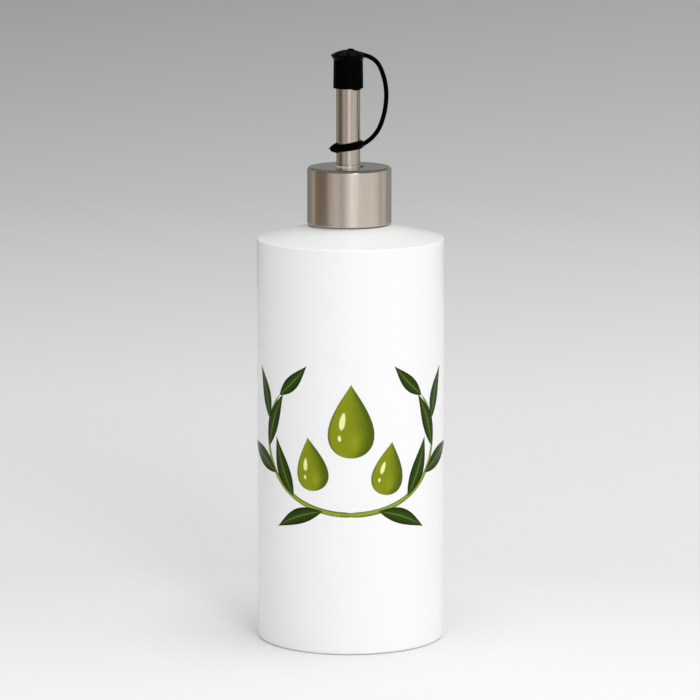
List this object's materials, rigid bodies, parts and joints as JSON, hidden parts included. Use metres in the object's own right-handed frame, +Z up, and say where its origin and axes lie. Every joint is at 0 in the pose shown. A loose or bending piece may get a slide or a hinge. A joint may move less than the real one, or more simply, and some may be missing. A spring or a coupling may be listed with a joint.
{
  "type": "oil dispenser bottle",
  "caption": "Tall cylindrical glazed ceramic oil dispenser with a steel collar, a straight pouring spout and a tethered rubber stopper.",
  "frame": {"origin": "centre of the bottle's foot, on the table", "axes": "+Z up along the bottle's axis, -Y towards the printed front, +X towards the side where the strap hangs"},
  "size_m": [0.07, 0.07, 0.2219],
  "materials": {
    "bottle": "glossy white glaze",
    "collar": "bright drawn steel",
    "spout": "bright drawn steel tube",
    "stopper": "matt black moulded rubber",
    "print": "glossy fired decal in greens"
  },
  "bodies": {
    "root": {"bottle": "bottle", "collar": "collar", "spout": "spout", "stopper": "stopper"}
  },
  "joints": []
}
